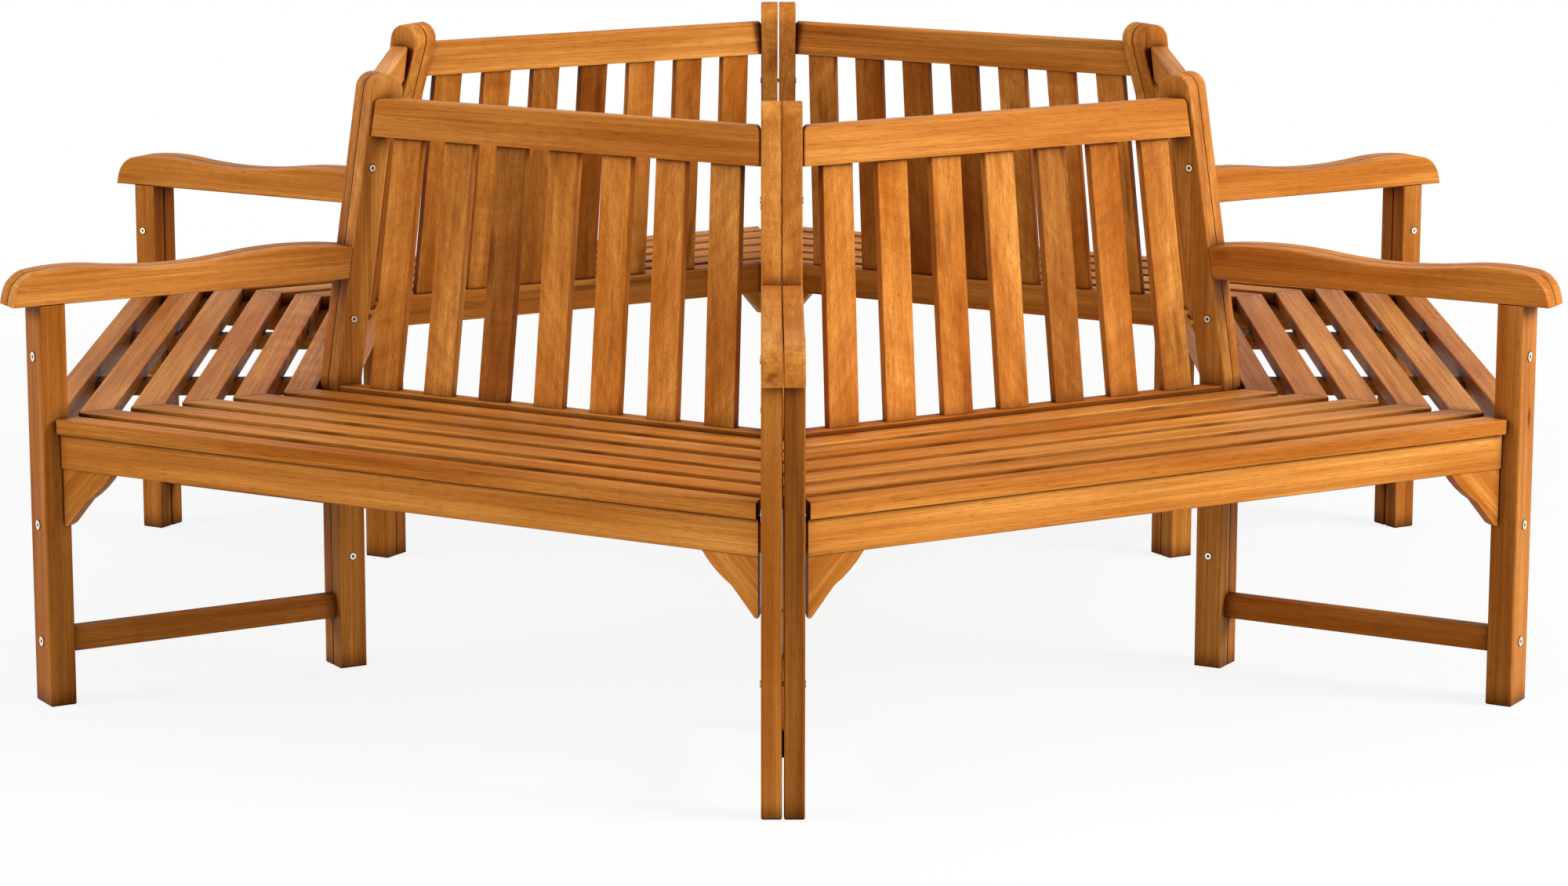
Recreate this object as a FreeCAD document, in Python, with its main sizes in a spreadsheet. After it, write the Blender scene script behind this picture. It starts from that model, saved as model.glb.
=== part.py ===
import FreeCAD, Part
import math
import os

import Sketcher

# Hexagonal tree bench in hardwood, in millimetres, +Z up.
# The origin lies on the ground in the middle of the ring, where the tree stands.
# Six corners point outwards; one of them faces -Y. Six seat sections lie between the corners.

os.makedirs("parts", exist_ok=True)
doc = FreeCAD.newDocument("TreeBench")

# Driving dimensions

SIZES = {
    "corner_radius": 1240,        # centre to the outward face of the outer legs
    "board": 28,                  # thickness of every frame board
    "pair_gap": 2.5,                # slit between the two boards of a corner
    "leg_depth": 40,              # outer leg, measured along the radius
    "back_leg_radius": 777,       # centre to the outward face of the back legs
    "back_leg_depth": 42,
    "arm_underside": 590,
    "arm_overhang": 38,           # nose of the arm past the outer leg
    "arm_height": 47.5,           # height of the arm where its waves begin and end
    "arm_nose_slope": 3,          # how far the straight part of the nose leans back
    "arm_nose_straight": 14,      # height of that part
    "arm_nose_round": 38,         # length of the round that follows it
    "arm_tenon_height": 17,
    "lean": 8.7,                  # degrees that the posts lean towards the tree
    "lean_start": 440,            # height at which the posts start to lean
    "post_width": 38,
    "post_top": 890,
    "head_width": 51,             # rounded head of a post
    "head_slope": 17,             # degrees at which the back of the head runs into the post
    "seat_height": 425,
    "seat_slat_thickness": 22,
    "seat_slat_width": 46,
    "front_slat_width": 36,
    "seat_rear_clearance": 3,     # last seat slat in front of the back legs
    "front_slat_setback": 12,     # front slat behind the outer corner of the leg
    "mitre_gap": 2,               # between the slats of neighbouring sections
    "apron_height": 52,
    "apron_thickness": 24,
    "apron_setback": 8,           # apron behind the front edge of the seat
    "shadow_gap": 4,              # in front, between apron or bracket and the leg
    "bracket_length": 87,
    "bracket_drop": 83,
    "bracket_toe": 6,             # flat lower end of a bracket
    "bracket_waist": 41,          # from the end of the apron to the kink of a bracket
    "bracket_waist_drop": 43,
    "bracket_thickness": 20,
    "side_rail_height": 38,
    "stretcher_bottom": 75,
    "stretcher_height": 36,
    "stretcher_thickness": 24,
    "bearer_width": 40,
    "bearer_height": 22,
    "bearer_spacing": 400,
    "rail_setback": 4,            # back rails behind the outward edge of the posts
    "rail_thickness": 28,
    "lower_rail_height": 50,
    "lower_rail_rise": 7,         # top of the lower back rail above the seat
    "top_rail_height": 55,
    "top_rail_drop": 34,          # top of the top rail under the heads of the posts
    "rail_corner": 7,             # rounded top corners at the ends of the top rails
    "back_slat_width": 50,
    "back_slat_thickness": 14,
    "back_slat_inset": 9,         # face of the back slats behind the face of the rails
    "back_slat_pitch_low": 96,
    "back_slat_pitch_top": 90,
    "tenon_length": 15,
    "flank_tenon_length": 12,     # tenons that enter the flank of a leg or post
    "tenon_thickness": 12,
    "side_tenon_inset": 3,        # tenons of the side rails, from the slit between the boards
    "side_tenon_thickness": 10,
    "leg_tenon_inset": 8,         # tenons on top of the legs, from the leg's faces
    "apron_tenon_inset": 3,       # tenons of the apron, from the leg's inner face
    "tenon_shoulder": 6,          # wood above and below a tenon
    "slat_tenon": 12,             # depth of the back slats in the rails
    "leg_tenon_height": 20,
    "bearer_tenon": 10,
    "bearer_shoulder": 5,
    "slat_leg_gap": 7,            # in front, between the front slat and the legs
    "bracket_inset": 2,
    "bracket_swell": 3,           # rise of the curve above the kink
    "back_slat_round": 2,
    "joint_clearance": 0.1,
    "edge_round": 3,
    "slat_round": 2,
    "bolt_diameter": 6,
    "bolt_head_diameter": 10,
    "bolt_head_height": 4,
    "bolt_head_clearance": 0.8,   # round a head, in its recess
    "bolt_recess_depth": 2.5,
    "bolt_socket": 4,             # across the flats of the hexagon socket
    "bolt_socket_depth": 3,
    "face_bolt_head": 14,         # head of the bolts in the wide legs
    "face_bolt_socket": 5,
    "sleeve_diameter": 8,
    "bolt_clearance": 0.15,
    "bolt_end_clearance": 1,
    "face_bolt_skin": 5,          # wood left behind the bolts in the wide legs
    "foot_bolt_height": 181,      # bolt through the outer legs at the front and back corner
    "upper_bolt_height": 513,     # bolt through the outer legs at the two rear side corners
    "back_leg_bolt_height": 171,
    "low_post_bolt_rise": 105,    # bolts through the posts, above the seat and under the top
    "high_post_bolt_drop": 137,
    "post_bolt_inset": 16,
    "face_bolt_low": 266,         # bolts in the face of the wide legs
    "face_bolt_high": 513,
}

CORNERS = {"left_front": -150, "front": -90, "right_front": -30,
           "right_rear": 30, "rear": 90, "left_rear": 150}
SECTIONS = {"front_left": -120, "front_right": -60, "right": 0,
            "rear_right": 60, "rear_left": 120, "left": 180}
WIDE_LEG_CORNERS = ("left_front", "right_front")
HALF_CORNER = 30                  # degrees from the middle of a section to its corner
WIDE_SEAT_SLATS = 5
BACK_SLATS = 7
TINY = 1e-6
CLOSE = 1e-3                      # slack when an edge is picked by its place
LONG_EDGE = 100
ARM_WAIST_START = 0.27            # where the waist of an arm lies, as parts of its length
ARM_WAIST_END = 0.655
ARM_WAVE = 0.0325                 # rise or fall of each wave of an arm over its length

sheet = doc.addObject("Spreadsheet::Sheet", "Sizes")
for row, (alias, number) in enumerate(SIZES.items(), start=1):
    sheet.set(f"A{row}", str(number))
    sheet.setAlias(f"A{row}", alias)
doc.recompute()


class Size:
    """A length that carries its number together with the sheet formula that gives it."""

    def __init__(self, number, formula=None):
        self.number = float(number)
        self.formula = formula or repr(float(number))

    def __add__(self, other):
        other = as_size(other)
        return Size(self.number + other.number, f"({self.formula} + {other.formula})")

    def __sub__(self, other):
        other = as_size(other)
        return Size(self.number - other.number, f"({self.formula} - {other.formula})")

    def __rsub__(self, other):
        return as_size(other) - self

    def __mul__(self, other):
        other = as_size(other)
        return Size(self.number * other.number, f"({self.formula} * {other.formula})")

    def __truediv__(self, other):
        other = as_size(other)
        return Size(self.number / other.number, f"({self.formula} / {other.formula})")

    def __neg__(self):
        return Size(-self.number, f"(0 - {self.formula})")

    __radd__ = __add__
    __rmul__ = __mul__


def as_size(value):
    return value if isinstance(value, Size) else Size(value)


def size(alias):
    return Size(SIZES[alias], f"Sizes.{alias}")


def sine(angle):
    return Size(math.sin(math.radians(angle.number)), f"sin({angle.formula})")


def cosine(angle):
    return Size(math.cos(math.radians(angle.number)), f"cos({angle.formula})")


def tangent(angle):
    return Size(math.tan(math.radians(angle.number)), f"tan({angle.formula})")


def arctangent(value):
    return Size(math.degrees(math.atan(value.number)), f"atan({value.formula})")


def square_root(value):
    return Size(math.sqrt(value.number), f"sqrt({value.formula})")


# Sketches and features

def new_body(name, angle):
    """A body whose own X axis points from the tree outwards at the given angle."""
    body = doc.addObject("PartDesign::Body", name)
    body.Label = name
    body.AllowCompound = True
    body.Placement = FreeCAD.Placement(
        FreeCAD.Vector(), FreeCAD.Rotation(FreeCAD.Vector(0, 0, 1), angle))
    return body


def new_sketch(body, name, plane, offset=None):
    sketch = body.newObject("Sketcher::SketchObject", f"{body.Name}_{name}")
    origin_plane = [item for item in body.Origin.OriginFeatures if item.Role == plane][0]
    sketch.AttachmentSupport = [(origin_plane, "")]
    sketch.MapMode = "FlatFace"
    if offset is not None:
        sketch.setExpression("AttachmentOffset.Base.z", as_size(offset).formula)
    return sketch


def pin(geometry, end, point):
    """The constraints that tie one end of a line or arc to its two sizes, each with its formula."""
    pins = []
    for direction, axis, value in (("DistanceX", -2, point[0]), ("DistanceY", -1, point[1])):
        value = as_size(value)
        if abs(value.number) < TINY:
            pins.append((Sketcher.Constraint("PointOnObject", geometry, end, axis), None))
        else:
            pins.append((Sketcher.Constraint(direction, -1, 1, geometry, end, value.number), value.formula))
    return pins


def constrain(sketch, constraints):
    """Adds the constraints and binds each size among them to its formula."""
    indexes = sketch.addConstraint([constraint for constraint, _ in constraints])
    for index, (_, formula) in zip(indexes, constraints):
        if formula is not None:
            sketch.setExpression(f"Constraints[{index}]", formula)


def arc_between(start, end, bulge):
    """An arc from start to end that rises by bulge to the left of its chord, and its radius."""
    dx = as_size(end[0]) - start[0]
    dy = as_size(end[1]) - start[1]
    chord_squared = dx * dx + dy * dy
    chord = math.sqrt(chord_squared.number)
    height = as_size(bulge)
    radius = chord_squared / (8 * height) + height / 2
    middle = FreeCAD.Vector(
        as_size(start[0]).number + dx.number / 2 - dy.number / chord * height.number,
        as_size(start[1]).number + dy.number / 2 + dx.number / chord * height.number, 0)
    circle = Part.Arc(to_vector(start), middle, to_vector(end))
    if height.number < 0:
        radius = -radius
    return circle, radius


def tangent_bulge(previous, start, end):
    """The bulge of an arc from start to end that carries on smoothly from the line before it."""
    line_x = as_size(start[0]) - previous[0]
    line_y = as_size(start[1]) - previous[1]
    chord_x = as_size(end[0]) - start[0]
    chord_y = as_size(end[1]) - start[1]
    line = square_root(line_x * line_x + line_y * line_y)
    chord = square_root(chord_x * chord_x + chord_y * chord_y)
    turn = line_x * chord_y - line_y * chord_x
    ahead = line_x * chord_x + line_y * chord_y
    return -chord / 2 * turn / (line * chord + ahead)


def to_vector(point):
    return FreeCAD.Vector(as_size(point[0]).number, as_size(point[1]).number, 0)


def add_loop(sketch, points):
    """A closed outline: each point is (x, y) or (x, y, bulge of the arc that leaves it)."""
    constraints = []
    ends = []
    for index, point in enumerate(points):
        following = points[(index + 1) % len(points)]
        if len(point) == 3:
            arc, radius = arc_between(point, following, point[2])
            number = sketch.addGeometry(arc, False)
            starts_here = sketch.getPoint(number, 1).distanceToPoint(to_vector(point)) < TINY
            ends.append((number, 1, 2) if starts_here else (number, 2, 1))
            constraints.append((Sketcher.Constraint("Radius", number, radius.number), radius.formula))
        else:
            line = Part.LineSegment(to_vector(point), to_vector(following))
            ends.append((sketch.addGeometry(line, False), 1, 2))
    for index, point in enumerate(points):
        number, start, _ = ends[index]
        previous, _, end = ends[index - 1]
        constraints.append((Sketcher.Constraint("Coincident", previous, end, number, start), None))
        constraints.extend(pin(number, start, point))
    constrain(sketch, constraints)


def add_circle(sketch, centre, diameter):
    diameter = as_size(diameter)
    circle = Part.Circle(to_vector(centre), FreeCAD.Vector(0, 0, 1), diameter.number / 2)
    number = sketch.addGeometry(circle, False)
    across = (Sketcher.Constraint("Diameter", number, diameter.number), diameter.formula)
    constrain(sketch, [*pin(number, 3, centre), across])


def rectangle(low_x, low_y, high_x, high_y, rounding=None):
    """Points of a rectangle, with rounded corners where a rounding is given."""
    if rounding is None:
        return [(low_x, low_y), (high_x, low_y), (high_x, high_y), (low_x, high_y)]
    cut = as_size(rounding)
    bulge = -cut * (1 - math.sqrt(0.5))
    return [(low_x + cut, low_y), (high_x - cut, low_y, bulge),
            (high_x, low_y + cut), (high_x, high_y - cut, bulge),
            (high_x - cut, high_y), (low_x + cut, high_y, bulge),
            (low_x, high_y - cut), (low_x, low_y + cut, bulge)]


def pad(body, sketch, length, symmetric=False, reverse=False):
    feature = body.newObject("PartDesign::Pad", f"{sketch.Name}_pad")
    feature.Profile = sketch
    feature.SideType = "Symmetric" if symmetric else "One side"
    feature.Reversed = reverse
    feature.setExpression("Length", as_size(length).formula)
    return feature


def pocket(body, sketch, length, symmetric=False, reverse=False):
    feature = body.newObject("PartDesign::Pocket", f"{sketch.Name}_cut")
    feature.Profile = sketch
    feature.SideType = "Symmetric" if symmetric else "One side"
    feature.Reversed = reverse
    feature.setExpression("Length", as_size(length).formula)
    return feature


def round_edges(body, base, radius, chosen):
    """Fillets the edges of a feature that the test picks."""
    doc.recompute()
    names = [f"Edge{number}" for number, edge in enumerate(base.Shape.Edges, start=1) if chosen(edge)]
    fillet = body.newObject("PartDesign::Fillet", f"{base.Name}_round")
    fillet.Base = (base, names)
    fillet.setExpression("Radius", as_size(radius).formula)
    return fillet


# Sizes that several pieces share

HALF_GAP = size("pair_gap") / 2
HALF_PAIR = HALF_GAP + size("board")
TENON_FIT = size("joint_clearance")
LEG_INNER = size("corner_radius") - size("leg_depth")
BACK_LEG_INNER = size("back_leg_radius") - size("back_leg_depth")
SEAT_UNDERSIDE = size("seat_height") - size("seat_slat_thickness")
SIDE_RAIL_BOTTOM = SEAT_UNDERSIDE - size("side_rail_height")
APRON_BOTTOM = SEAT_UNDERSIDE - size("apron_height")
STRETCHER_MIDDLE = size("stretcher_bottom") + size("stretcher_height") / 2
LEAN_SLOPE = tangent(size("lean"))
CORNER_COSINE = math.cos(math.radians(HALF_CORNER))
CORNER_SINE = math.sin(math.radians(HALF_CORNER))
CORNER_TANGENT = math.tan(math.radians(HALF_CORNER))


def apothem(radius, offset):
    """Distance from the middle of the ring, square to a section, of a point beside a corner plane."""
    return radius * CORNER_COSINE + offset * CORNER_SINE


def corner_distance(section_distance, offset):
    """The radius at which a line parallel to a section crosses a plane beside the corner plane."""
    return (section_distance - offset * CORNER_SINE) / CORNER_COSINE


def post_face(height):
    """Radius of the outward edge of a post at a height above the bend."""
    return size("back_leg_radius") - (height - size("lean_start")) * LEAN_SLOPE


def rail_face(height):
    """Distance of the face of the leaning back from the middle, square to the section."""
    return apothem(post_face(height) - size("rail_setback"), HALF_PAIR)


SEAT_FRONT = apothem(size("corner_radius"), HALF_PAIR) - size("front_slat_setback")
APRON_FACE = SEAT_FRONT - size("apron_setback")
APRON_BACK = APRON_FACE - size("apron_thickness")
LOWER_RAIL_FACE = rail_face(size("lean_start"))
LOWER_RAIL_BACK = LOWER_RAIL_FACE - size("rail_thickness")
LOWER_RAIL_TOP = size("seat_height") + size("lower_rail_rise")
LOWER_RAIL_BOTTOM = LOWER_RAIL_TOP - size("lower_rail_height")
TOP_RAIL_TOP = size("post_top") - size("top_rail_drop")
TOP_RAIL_BOTTOM = TOP_RAIL_TOP - size("top_rail_height")
SECTION_SLOPE = LEAN_SLOPE * CORNER_COSINE
REACH = size("corner_radius") * 2  # longer than any piece of a section
OVERRUN = 1                       # how far a cut starts outside the wood


def end_cut(body, name, near, far):
    """Cuts both ends of a section's boards, on the lines through two points given as (distance, offset).

    The distance is from the middle of the ring, square to the section, and the offset from the corner plane.
    """
    sketch = new_sketch(body, name, "XY_Plane")
    for side in (1, -1):
        edge = [(distance, (distance * CORNER_TANGENT - offset / CORNER_COSINE) * side)
                for distance, offset in (near, far)]
        add_loop(sketch, [*edge, (far[0], REACH * side), (near[0], REACH * side)])
    return pocket(body, sketch, REACH, symmetric=True)


def parallel_end_cut(body, name, offset):
    """Cuts the ends parallel to the corner planes."""
    near = size("back_leg_radius") / 2
    far = size("corner_radius") + size("leg_depth")
    return end_cut(body, name, (near, as_size(offset)), (far, as_size(offset)))


def open_end_cut(body, name, back, face, gap):
    """Cuts the ends so that the back edge meets the leg and the face stands off it by a gap."""
    return end_cut(body, name, (back - OVERRUN, HALF_PAIR + TENON_FIT), (face + OVERRUN, HALF_PAIR + gap))


def flank_tenon(body, name, low, high, bottom, top, shoulder, depth):
    """Tenons that run on from both ends of a section's board into the flanks of the corner posts."""
    sketch = new_sketch(body, name, "XY_Plane", bottom)
    for side in (1, -1):
        points = []
        for distance, offset in ((low, shoulder), (high, shoulder), (high, depth), (low, depth)):
            along = distance * CORNER_TANGENT - offset / CORNER_COSINE
            points.append((distance, along * side))
        add_loop(sketch, points)
    return pad(body, sketch, top - bottom)


def flank_mortise(body, name, low, high, bottom, top, depth):
    """The mortises for those tenons, in both flanks of a pair of corner posts."""
    sketch = new_sketch(body, name, "XY_Plane", top + TENON_FIT)
    for side in (1, -1):
        points = []
        for distance, offset in ((low - TENON_FIT, HALF_PAIR), (high + TENON_FIT, HALF_PAIR),
                                 (high + TENON_FIT, depth), (low - TENON_FIT, depth)):
            points.append((corner_distance(distance, offset), offset * side))
        add_loop(sketch, points)
    return pocket(body, sketch, top - bottom + TENON_FIT * 2)


def block(body, name, plane_top, rectangles, height, cut=False):
    """Upright blocks, as pads or as cuts that go down from the given height."""
    sketch = new_sketch(body, name, "XY_Plane", plane_top)
    for low_x, low_y, high_x, high_y in rectangles:
        add_loop(sketch, rectangle(low_x, low_y, high_x, high_y))
    return pocket(body, sketch, height) if cut else pad(body, sketch, height)


# Tenons, each written once as (low, high) sizes that its mortise repeats

SIDE_TENON_LOW = HALF_GAP + size("side_tenon_inset")
SIDE_TENON_HIGH = SIDE_TENON_LOW + size("side_tenon_thickness")
SIDE_TENON_BOTTOM = SIDE_RAIL_BOTTOM + size("tenon_shoulder")
SIDE_TENON_TOP = SEAT_UNDERSIDE - size("tenon_shoulder")
STRETCHER_TENON = size("tenon_thickness") / 2
STRETCHER_TENON_BOTTOM = size("stretcher_bottom") + size("tenon_shoulder")
STRETCHER_TENON_TOP = size("stretcher_bottom") + size("stretcher_height") - size("tenon_shoulder")
ARM_TENON_LOW = HALF_GAP + (size("board") - size("tenon_thickness")) / 2
ARM_TENON_HIGH = ARM_TENON_LOW + size("tenon_thickness")
LEG_TENON_INNER = LEG_INNER + size("leg_tenon_inset")
LEG_TENON_OUTER = size("corner_radius") - size("leg_tenon_inset")
LEG_TENON_TOP = size("arm_underside") + size("leg_tenon_height")
ARM_TENON_BOTTOM = size("arm_underside") + size("tenon_shoulder") * 2
ARM_TENON_TOP = ARM_TENON_BOTTOM + size("arm_tenon_height")
ARM_TENON_END = post_face(ARM_TENON_TOP) - size("tenon_length")
APRON_TENON_LOW = apothem(LEG_INNER + size("apron_tenon_inset"), HALF_PAIR)
APRON_TENON_HIGH = APRON_FACE - size("tenon_shoulder") / 2
APRON_TENON_BOTTOM = APRON_BOTTOM + size("tenon_shoulder")
APRON_TENON_TOP = SEAT_UNDERSIDE - size("tenon_shoulder")
FLANK_TENON_END = HALF_PAIR - size("flank_tenon_length")
LOWER_TENON_BACK = LOWER_RAIL_BACK + size("tenon_shoulder") / 2
LOWER_TENON_FRONT = LOWER_TENON_BACK + size("tenon_thickness")
LOWER_TENON_BOTTOM = LOWER_RAIL_BOTTOM + size("tenon_shoulder")
LOWER_TENON_TOP = LOWER_RAIL_TOP - size("tenon_shoulder")
TOP_TENON_BOTTOM = TOP_RAIL_BOTTOM + size("tenon_shoulder") * 2
TOP_TENON_TOP = TOP_RAIL_TOP - size("tenon_shoulder") * 2
TOP_TENON_BACK = rail_face(TOP_TENON_BOTTOM) - size("rail_thickness") + size("tenon_shoulder") / 2
TOP_TENON_FRONT = TOP_TENON_BACK + size("tenon_thickness")
BEARER_TENON_BOTTOM = SEAT_UNDERSIDE - size("bearer_height") + size("bearer_shoulder")
BEARER_TENON_TOP = SEAT_UNDERSIDE - size("bearer_shoulder")
BEARER_TENON_SIDE = size("bearer_width") / 2 - size("bearer_shoulder")
SHANK_HOLE = size("bolt_diameter") + size("bolt_clearance") * 2
SLEEVE_HOLE = size("sleeve_diameter") + size("bolt_clearance") * 2


# Pieces of a corner

def cut_round_holes(body, name, places, diameter, start, depth, reverse):
    """Round holes across a pair of boards, from one flank or from the middle both ways."""
    sketch = new_sketch(body, name, "XZ_Plane", start)
    for place in places:
        add_circle(sketch, place, diameter)
    return pocket(body, sketch, depth, symmetric=reverse is None, reverse=bool(reverse))


def cut_joining_bolt_holes(body, places):
    """Holes, sleeve bores and recesses of the bolts that join the two boards of a corner."""
    cut_round_holes(body, "shank_holes", places, SHANK_HOLE, 0, HALF_PAIR * 2 + OVERRUN, None)
    cut_round_holes(body, "sleeve_holes", places, SLEEVE_HOLE, HALF_PAIR, size("board"), False)
    recess = size("bolt_recess_depth")
    hole = size("bolt_head_diameter") + size("bolt_head_clearance") * 2
    cut_round_holes(body, "near_recesses", places, hole, HALF_PAIR, recess, False)
    cut_round_holes(body, "far_recesses", places, hole, -HALF_PAIR, recess, True)


def split_pair(body, low_x, high_x, low_z, high_z):
    """Opens the slit that parts a pair of boards."""
    sketch = new_sketch(body, "slit", "XZ_Plane")
    add_loop(sketch, rectangle(low_x, low_z, high_x, high_z))
    return pocket(body, sketch, HALF_GAP * 2, symmetric=True)


def make_outer_legs(corner, angle):
    body = new_body(f"outer_legs_{corner}", angle)
    wide = corner in WIDE_LEG_CORNERS
    section = new_sketch(body, "section", "XY_Plane")
    outer = size("corner_radius")
    rounding = size("edge_round")
    if wide:
        add_loop(section, rectangle(LEG_INNER, -HALF_PAIR, outer, HALF_PAIR, rounding))
    else:
        add_loop(section, rectangle(LEG_INNER, HALF_GAP, outer, HALF_PAIR, rounding))
        add_loop(section, rectangle(LEG_INNER, -HALF_PAIR, outer, -HALF_GAP, rounding))
    shaft = pad(body, section, size("arm_underside"))
    round_edges(body, shaft, rounding, lambda edge: edge.BoundBox.ZMax < TINY)
    tenons = [(LEG_TENON_INNER, ARM_TENON_LOW, LEG_TENON_OUTER, ARM_TENON_HIGH),
              (LEG_TENON_INNER, -ARM_TENON_HIGH, LEG_TENON_OUTER, -ARM_TENON_LOW)]
    block(body, "arm_tenons", size("arm_underside"), tenons, size("leg_tenon_height"))
    mortise_end = LEG_INNER + size("tenon_length") + TENON_FIT
    face = LEG_INNER - OVERRUN
    side_mortises = [(face, SIDE_TENON_LOW - TENON_FIT, mortise_end, SIDE_TENON_HIGH + TENON_FIT),
                     (face, -SIDE_TENON_HIGH - TENON_FIT, mortise_end, -SIDE_TENON_LOW + TENON_FIT)]
    block(body, "side_rail_mortises", SIDE_TENON_TOP + TENON_FIT, side_mortises,
          SIDE_TENON_TOP - SIDE_TENON_BOTTOM + TENON_FIT * 2, cut=True)
    stretcher_mortise = [(face, -STRETCHER_TENON - TENON_FIT, mortise_end, STRETCHER_TENON + TENON_FIT)]
    block(body, "stretcher_mortise", STRETCHER_TENON_TOP + TENON_FIT, stretcher_mortise,
          STRETCHER_TENON_TOP - STRETCHER_TENON_BOTTOM + TENON_FIT * 2, cut=True)
    flank_mortise(body, "apron_mortises", APRON_TENON_LOW, APRON_TENON_HIGH,
                  APRON_TENON_BOTTOM, APRON_TENON_TOP, FLANK_TENON_END - TENON_FIT)
    if wide:
        cut_face_bolt_holes(body)
    else:
        cut_joining_bolt_holes(body, [outer_bolt_place(corner)])
    return body


def outer_bolt_place(corner):
    """Radius and height of the bolt that joins the two outer legs of a corner."""
    if corner in ("front", "rear"):
        return size("corner_radius") - size("leg_depth") / 2, size("foot_bolt_height")
    return size("corner_radius") - size("post_bolt_inset"), size("upper_bolt_height")


def face_bolt_heights():
    return STRETCHER_MIDDLE, size("face_bolt_low"), size("face_bolt_high")


def cut_face_bolt_holes(body):
    """Recessed holes in the outward face of a wide leg."""
    recess = size("face_bolt_head") + size("bolt_head_clearance") * 2
    for name, diameter, depth in (("face_recesses", recess, size("bolt_recess_depth")),
                                  ("face_holes", SHANK_HOLE, size("leg_depth") - size("face_bolt_skin"))):
        sketch = new_sketch(body, name, "YZ_Plane", size("corner_radius"))
        for height in face_bolt_heights():
            add_circle(sketch, (0, height), diameter)
        pocket(body, sketch, depth)


def make_back_posts(corner, angle):
    """Two bent boards: upright back legs that lean inwards above the seat and end in round heads."""
    body = new_body(f"back_posts_{corner}", angle)
    outline = new_sketch(body, "outline", "XZ_Plane")
    head = size("head_width") / 2
    head_height = size("post_top") - head
    head_middle = post_face(head_height) - head / cosine(size("lean"))
    bend = (size("back_leg_radius"), size("lean_start"))
    front = (head_middle + head * cosine(size("lean")), head_height + head * sine(size("lean")))
    slope = size("head_slope")
    rear = (head_middle - head * cosine(slope), head_height - head * sine(slope))
    fall = (post_face(rear[1]) - size("post_width") - rear[0]) / (tangent(slope) - LEAN_SLOPE)
    add_loop(outline, [
        (BACK_LEG_INNER, 0),
        (size("back_leg_radius"), 0),
        bend,
        (*front, tangent_bulge(bend, front, rear)),
        rear,
        (rear[0] + fall * tangent(slope), rear[1] - fall),
        (BACK_LEG_INNER, size("lean_start"))])
    boards = pad(body, outline, HALF_PAIR * 2, symmetric=True)
    half = HALF_PAIR.number
    round_edges(body, boards, size("edge_round"),
                lambda edge: abs(abs(edge.BoundBox.YMin) - half) < CLOSE and edge.BoundBox.YLength < CLOSE)
    split_pair(body, head_middle - size("head_width"), size("back_leg_radius") + OVERRUN,
               -OVERRUN, size("post_top") + OVERRUN)
    end = size("back_leg_radius") - size("tenon_length") - TENON_FIT
    face = size("back_leg_radius") + OVERRUN
    side_mortises = [(end, SIDE_TENON_LOW - TENON_FIT, face, SIDE_TENON_HIGH + TENON_FIT),
                     (end, -SIDE_TENON_HIGH - TENON_FIT, face, -SIDE_TENON_LOW + TENON_FIT)]
    block(body, "side_rail_mortises", SIDE_TENON_TOP + TENON_FIT, side_mortises,
          SIDE_TENON_TOP - SIDE_TENON_BOTTOM + TENON_FIT * 2, cut=True)
    stretcher_mortise = [(end, -STRETCHER_TENON - TENON_FIT, face, STRETCHER_TENON + TENON_FIT)]
    block(body, "stretcher_mortise", STRETCHER_TENON_TOP + TENON_FIT, stretcher_mortise,
          STRETCHER_TENON_TOP - STRETCHER_TENON_BOTTOM + TENON_FIT * 2, cut=True)
    end = ARM_TENON_END - TENON_FIT
    arm_mortises = [(end, ARM_TENON_LOW - TENON_FIT, face, ARM_TENON_HIGH + TENON_FIT),
                    (end, -ARM_TENON_HIGH - TENON_FIT, face, -ARM_TENON_LOW + TENON_FIT)]
    block(body, "arm_mortises", ARM_TENON_TOP + TENON_FIT, arm_mortises,
          ARM_TENON_TOP - ARM_TENON_BOTTOM + TENON_FIT * 2, cut=True)
    flank_mortise(body, "lower_rail_mortises", LOWER_TENON_BACK, LOWER_TENON_FRONT,
                  LOWER_TENON_BOTTOM, LOWER_TENON_TOP, FLANK_TENON_END - TENON_FIT)
    flank_mortise(body, "top_rail_mortises", TOP_TENON_BACK, TOP_TENON_FRONT,
                  TOP_TENON_BOTTOM, TOP_TENON_TOP, FLANK_TENON_END - TENON_FIT)
    cut_joining_bolt_holes(body, post_bolt_places())
    return body


def post_bolt_places():
    """Radius and height of the three bolts that join a pair of back posts."""
    low = size("seat_height") + size("low_post_bolt_rise")
    high = size("post_top") - size("high_post_bolt_drop")
    return [(size("back_leg_radius") - size("back_leg_depth") / 2, size("back_leg_bolt_height")),
            (post_face(low) - size("post_bolt_inset"), low),
            (post_face(high) - size("post_bolt_inset"), high)]


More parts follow.
